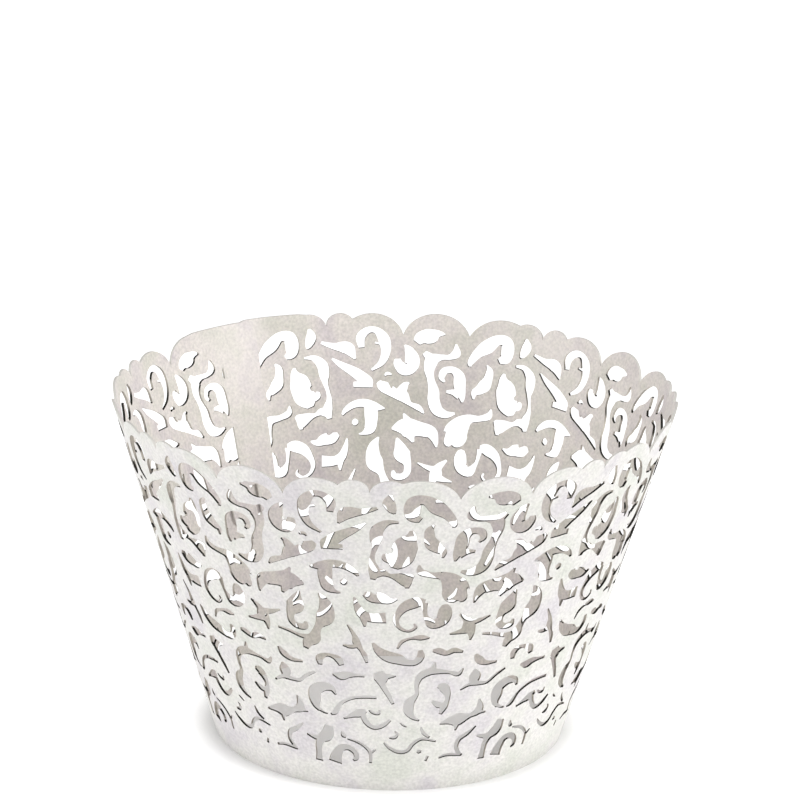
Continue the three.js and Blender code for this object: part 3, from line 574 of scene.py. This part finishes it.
def rolling_tree(pearl, cut_edge):
    """Geometry Nodes that lay the motif in a row, add the end bands, thicken the flat card and
    roll it into the cone, with the over end lifted onto the under end."""
    tree = bpy.data.node_groups.new("rolled_filigree", "GeometryNodeTree")
    face = tree.interface
    face.new_socket("Geometry", in_out="INPUT", socket_type="NodeSocketGeometry")
    face.new_socket("Geometry", in_out="OUTPUT", socket_type="NodeSocketGeometry")
    face.new_socket("End bands", in_out="INPUT", socket_type="NodeSocketObject")
    face.new_socket("Repeats", in_out="INPUT", socket_type="NodeSocketInt")
    for name in ("First repeat", "Repeat width", "Foot radius", "Rim radius", "Height", "Card",
                 "Start angle", "Lift"):
        face.new_socket(name, in_out="INPUT", socket_type="NodeSocketFloat")
    given = tree.nodes.new("NodeGroupInput").outputs

    places = node(tree, "GeometryNodeMeshLine", {
        "Count": given["Repeats"],
        "Start Location": node(tree, "ShaderNodeCombineXYZ", [given["First repeat"]]).outputs[0],
        "Offset": node(tree, "ShaderNodeCombineXYZ", [given["Repeat width"]]).outputs[0],
    })
    row = node(tree, "GeometryNodeInstanceOnPoints", {
        "Points": places.outputs[0], "Instance": given["Geometry"],
    })
    lace = node(tree, "GeometryNodeRealizeInstances", [row.outputs[0]])
    bands = node(tree, "GeometryNodeObjectInfo", [given["End bands"]])
    joined = node(tree, "GeometryNodeJoinGeometry")
    tree.links.new(lace.outputs[0], joined.inputs[0])
    tree.links.new(bands.outputs["Geometry"], joined.inputs[0])
    flat = node(tree, "GeometryNodeMergeByDistance", {
        "Geometry": joined.outputs[0], "Distance": SAME_POINT * MM,
    })

    up = node(tree, "ShaderNodeCombineXYZ", [0.0, 0.0, 1.0])
    raised = node(tree, "GeometryNodeExtrudeMesh", {
        "Mesh": flat.outputs[0], "Offset": up.outputs[0], "Offset Scale": given["Card"],
        "Individual": False,
    }, mode="FACES")
    flipped = node(tree, "GeometryNodeFlipFaces", [flat.outputs[0]])
    inside = node(tree, "GeometryNodeStoreNamedAttribute", {
        "Geometry": flipped.outputs[0], "Name": "inner_face", "Value": True,
    }, data_type="BOOLEAN", domain="FACE")
    marked = node(tree, "GeometryNodeStoreNamedAttribute", {
        "Geometry": raised.outputs[0], "Name": "cut_wall", "Value": raised.outputs["Side"],
    }, data_type="BOOLEAN", domain="FACE")
    closed = node(tree, "GeometryNodeJoinGeometry")
    tree.links.new(marked.outputs[0], closed.inputs[0])
    tree.links.new(inside.outputs[0], closed.inputs[0])
    card = node(tree, "GeometryNodeMergeByDistance", {
        "Geometry": closed.outputs[0], "Distance": SAME_POINT * MM,
    })

    place = node(tree, "ShaderNodeSeparateXYZ", [node(tree, "GeometryNodeInputPosition").outputs[0]])
    x, y, depth = place.outputs
    spread = math_node(tree, "SUBTRACT", given["Rim radius"], given["Foot radius"])
    slope = math_node(tree, "SQRT", math_node(
        tree, "ADD", math_node(tree, "POWER", spread, 2.0),
        math_node(tree, "POWER", given["Height"], 2.0)))
    share = math_node(tree, "DIVIDE", y, slope)
    middle = math_node(tree, "MULTIPLY", math_node(
        tree, "ADD", given["Rim radius"], given["Foot radius"]), 0.5)

    def ramp(start, end):
        return node(tree, "ShaderNodeMapRange", {
            "Value": x, "From Min": start * MM, "From Max": end * MM,
        }, interpolation_type="SMOOTHSTEP").outputs[0]

    rise = ramp(girth - LIFT_LENGTH, girth)
    dive = ramp(girth + slot_start, girth + slot_start + SLOT_WIDTH)
    level = math_node(tree, "MULTIPLY", given["Lift"], math_node(
        tree, "SUBTRACT", rise, math_node(tree, "MULTIPLY", dive, 2.0)))
    stand_out = math_node(tree, "DIVIDE", math_node(tree, "ADD", level, depth), math.cos(flare))
    radius = math_node(tree, "ADD", stand_out, math_node(
        tree, "ADD", given["Foot radius"], math_node(tree, "MULTIPLY", spread, share)))
    angle = math_node(tree, "ADD", given["Start angle"], math_node(tree, "DIVIDE", x, middle))
    rolled = node(tree, "ShaderNodeCombineXYZ", [
        math_node(tree, "MULTIPLY", radius, math_node(tree, "SINE", angle)),
        math_node(tree, "MULTIPLY", radius, math_node(
            tree, "MULTIPLY", math_node(tree, "COSINE", angle), -1.0)),
        math_node(tree, "MULTIPLY", given["Height"], share),
    ])
    cone = node(tree, "GeometryNodeSetPosition", {
        "Geometry": card.outputs[0], "Position": rolled.outputs[0],
    })
    smooth = node(tree, "GeometryNodeSetShadeSmooth", [cone.outputs[0]])
    real = node(tree, "GeometryNodeRealizeInstances", [smooth.outputs[0]])
    faces = node(tree, "GeometryNodeSetMaterial", {"Geometry": real.outputs[0], "Material": pearl})
    on_wall = node(tree, "GeometryNodeInputNamedAttribute", {"Name": "cut_wall"},
                   data_type="BOOLEAN")
    edges = node(tree, "GeometryNodeSetMaterial", {
        "Geometry": faces.outputs[0], "Selection": on_wall.outputs[0], "Material": cut_edge,
    })
    node(tree, "NodeGroupOutput", [edges.outputs[0]])
    return tree


def rolled_filigree(pearl, cut_edge):
    """The whole wrapper as one plain mesh."""
    flat, card = motif_card()
    lace_edge = {round(float(flat[v][1]), 4) for t in card for v in t if abs(flat[v][0]) < 1e-3}
    motif = flat_object("motif", flat, card, (rim_line() - [ROW_START, 0]) * field_scale)
    bands_flat, bands_card = band_card(lace_edge)
    bands = flat_object("end_bands", bands_flat, bands_card, bands_flat)
    tree = rolling_tree(pearl, cut_edge)
    roller = motif.modifiers.new("roll", "NODES")
    roller.node_group = tree
    values = {
        "End bands": bands, "Repeats": REPEATS, "First repeat": under_band * MM,
        "Repeat width": repeat_width * MM, "Foot radius": BASE_RADIUS * MM,
        "Rim radius": RIM_RADIUS * MM, "Height": HEIGHT * MM, "Card": CARD * MM,
        "Start angle": start_angle, "Lift": (CARD + LAYER_GAP) * MM,
    }
    for item in tree.interface.items_tree:
        if item.in_out == "INPUT" and item.name in values:
            roller[item.identifier] = values[item.name]
    bpy.context.view_layer.update()
    depsgraph = bpy.context.evaluated_depsgraph_get()
    mesh = bpy.data.meshes.new_from_object(motif.evaluated_get(depsgraph))
    mesh.name = "pearl_filigree"
    mesh.set_sharp_from_angle(angle=math.radians(40))
    piece = bpy.data.objects.new("pearl_filigree", mesh)
    bpy.context.scene.collection.objects.link(piece)
    for flat_piece in (motif, bands):
        bpy.data.objects.remove(flat_piece)
    return piece


def new_material(name):
    """A material with its tree and its shader."""
    material = bpy.data.materials.new(name)
    material.use_nodes = True
    return material, material.node_tree, material.node_tree.nodes["Principled BSDF"]


def pearl_card():
    """White pearl card: a soft sheen, faint lilac and green tints, and the grain of the fibres.
    The inner face of the cone is painted a little lighter and more lilac: painted light where it
    lies in shade."""
    material, tree, shader = new_material("pearl_card")
    place = node(tree, "ShaderNodeTexCoord").outputs["Object"]
    clouds = node(tree, "ShaderNodeTexNoise", {
        "Vector": place, "Scale": 120.0, "Detail": 4.0, "Roughness": 0.6,
    })
    tints = node(tree, "ShaderNodeValToRGB", [clouds.outputs["Fac"]])
    ramp = tints.color_ramp
    lilac, green = ramp.elements
    lilac.position, lilac.color = 0.34, (0.60, 0.572, 0.588, 1)
    green.position, green.color = 0.66, (0.605, 0.612, 0.558, 1)
    middle = ramp.elements.new(0.5)
    middle.color = (0.685, 0.669, 0.643, 1)
    # Painted light: the inner face is multiplied lighter, standing in for light where it lies in
    # shade
    inner = node(tree, "ShaderNodeAttribute", attribute_name="inner_face").outputs["Fac"]
    painted_light_inner = node(tree, "ShaderNodeMix", {
        "Factor": inner, "A": tints.outputs[0], "B": (1.17, 1.125, 1.105, 1),
    }, data_type="RGBA", blend_type="MULTIPLY")
    fibres = node(tree, "ShaderNodeTexNoise", {"Vector": place, "Scale": 2300.0, "Detail": 3.0})
    grain = node(tree, "ShaderNodeMapRange", {
        "Value": fibres.outputs["Fac"], "From Min": 0.3, "From Max": 0.7,
        "To Min": 0.88, "To Max": 1.13,
    })
    colour = node(tree, "ShaderNodeHueSaturation", {
        "Value": grain.outputs[0], "Color": painted_light_inner.outputs["Result"],
    })
    gloss = node(tree, "ShaderNodeMapRange", {
        "Value": fibres.outputs["Fac"], "To Min": 0.34, "To Max": 0.56,
    })
    bump = node(tree, "ShaderNodeBump", {
        "Strength": 0.12, "Distance": 0.02 * MM, "Height": fibres.outputs["Fac"],
    })
    tree.links.new(colour.outputs[0], shader.inputs["Base Color"])
    tree.links.new(gloss.outputs[0], shader.inputs["Roughness"])
    tree.links.new(bump.outputs[0], shader.inputs["Normal"])
    shader.inputs["Sheen Weight"].default_value = 0.15
    shader.inputs["Coat Weight"].default_value = 0.12
    shader.inputs["Coat Roughness"].default_value = 0.35
    return material


def cut_card_edge():
    """The laser-cut wall of the card: bare paper, browned in the gaps partly by the beam and partly
    as painted shade, painted near black as painted shade where the wall faces up, and paler round
    the outer edge."""
    material, tree, shader = new_material("cut_card_edge")
    place = node(tree, "ShaderNodeTexCoord").outputs["Object"]
    # The gap walls' tints are darker than the outer edge: partly scorch, partly painted shade for
    # the shadow inside the gaps
    scorch = node(tree, "ShaderNodeTexNoise", {"Vector": place, "Scale": 330.0, "Detail": 3.0})
    tints = node(tree, "ShaderNodeValToRGB", [scorch.outputs["Fac"]])
    scorch_and_painted_shade, bare = tints.color_ramp.elements
    scorch_and_painted_shade.position, scorch_and_painted_shade.color = 0.35, (0.27, 0.242, 0.215, 1)
    bare.position, bare.color = 0.7, (0.58, 0.54, 0.47, 1)
    # Painted shade: the more a gap wall faces up, the nearer to black it is painted, so that light
    # from above does not show on it
    facing = node(tree, "ShaderNodeSeparateXYZ", [
        node(tree, "ShaderNodeNewGeometry").outputs["Normal"]])
    painted_shade_facing_up = node(tree, "ShaderNodeMapRange", {
        "Value": facing.outputs["Z"], "From Min": 0.1, "From Max": 0.5,
    })
    gap_wall = node(tree, "ShaderNodeMix", {
        "Factor": painted_shade_facing_up.outputs[0], "A": tints.outputs[0], "B": (0.012, 0.010, 0.007, 1),
    }, data_type="RGBA")
    outer = node(tree, "ShaderNodeAttribute", attribute_name="outer_edge").outputs["Fac"]
    colour = node(tree, "ShaderNodeMix", {
        "Factor": outer, "A": gap_wall.outputs["Result"], "B": (0.72, 0.70, 0.66, 1),
    }, data_type="RGBA")
    tree.links.new(colour.outputs["Result"], shader.inputs["Base Color"])
    shader.inputs["Roughness"].default_value = 0.9
    return material


def pale_floor():
    """A white floor whose own glow sets in at the edge of the shade round the foot."""
    size = FLOOR_REACH
    mesh = bpy.data.meshes.new("floor")
    mesh.from_pydata([(-size, -size, 0), (size, -size, 0), (size, size, 0), (-size, size, 0)],
                     [], [(0, 1, 2, 3)])
    floor = bpy.data.objects.new("floor", mesh)
    bpy.context.scene.collection.objects.link(floor)
    material, tree, shader = new_material("pale_floor")
    shader.inputs["Base Color"].default_value = (0.96, 0.96, 0.96, 1)
    shader.inputs["Roughness"].default_value = 0.9
    shader.inputs["Emission Color"].default_value = (1, 1, 1, 1)
    place = node(tree, "ShaderNodeTexCoord").outputs["Object"]
    distance = node(tree, "ShaderNodeVectorMath", [place], operation="LENGTH")
    glow = node(tree, "ShaderNodeMapRange", {
        "Value": distance.outputs["Value"],
        "From Min": BASE_RADIUS * MM, "From Max": SHADE_RADIUS, "To Max": FLOOR_GLOW,
    }, interpolation_type="SMOOTHSTEP")
    tree.links.new(glow.outputs[0], shader.inputs["Emission Strength"])
    mesh.materials.append(material)


def soft_light(name, place, size, power):
    """A round lamp of this size, aimed at the middle of the wrapper."""
    light = bpy.data.lights.new(name, "AREA")
    light.shape = "DISK"
    light.size = size
    light.energy = power
    lamp = bpy.data.objects.new(name, light)
    lamp.location = place
    aim = Vector((0, 0, HEIGHT * MM / 2)) - Vector(place)
    lamp.rotation_euler = aim.to_track_quat("-Z", "Y").to_euler()
    bpy.context.scene.collection.objects.link(lamp)


def studio():
    """Soft light from above, from both sides and weakly from behind, under a dim white sky."""
    scene = bpy.context.scene
    scene.view_settings.view_transform = "Standard"
    world = bpy.data.worlds.new("studio")
    scene.world = world
    world.use_nodes = True
    background = world.node_tree.nodes["Background"]
    background.inputs["Color"].default_value = (1, 1, 1, 1)
    background.inputs["Strength"].default_value = 0.4
    soft_light("top_light", (0.15, -0.55, 0.95), 0.6, 2.1)
    soft_light("left_light", (-0.95, -0.35, 0.30), 0.5, 3.6)
    soft_light("right_light", (0.95, -0.35, 0.34), 0.5, 5.2)
    soft_light("back_light", (0.3, 1.0, 0.45), 0.8, 1.8)


def photo_camera():
    """The camera as it was fitted to the photograph."""
    data = bpy.data.cameras.new("photo_camera")
    data.sensor_width = SENSOR_WIDTH
    data.lens = FOCAL_PIXELS * SENSOR_WIDTH / PHOTO_SIZE
    data.shift_x = (PHOTO_SIZE / 2 - OPTICAL_CENTRE_X) / PHOTO_SIZE
    camera = bpy.data.objects.new("photo_camera", data)
    bpy.context.scene.collection.objects.link(camera)
    camera.matrix_world = (
        Matrix.Translation(CAMERA_PLACE)
        @ Matrix.Rotation(math.pi / 2 - CAMERA_PITCH, 4, "X")
        @ Matrix.Rotation(CAMERA_ROLL, 4, "Z"))
    bpy.context.scene.camera = camera


photo_camera()
pale_floor()
studio()
wrapper = rolled_filigree(pearl_card(), cut_card_edge())
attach(wrapper, "root")
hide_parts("wrapper")
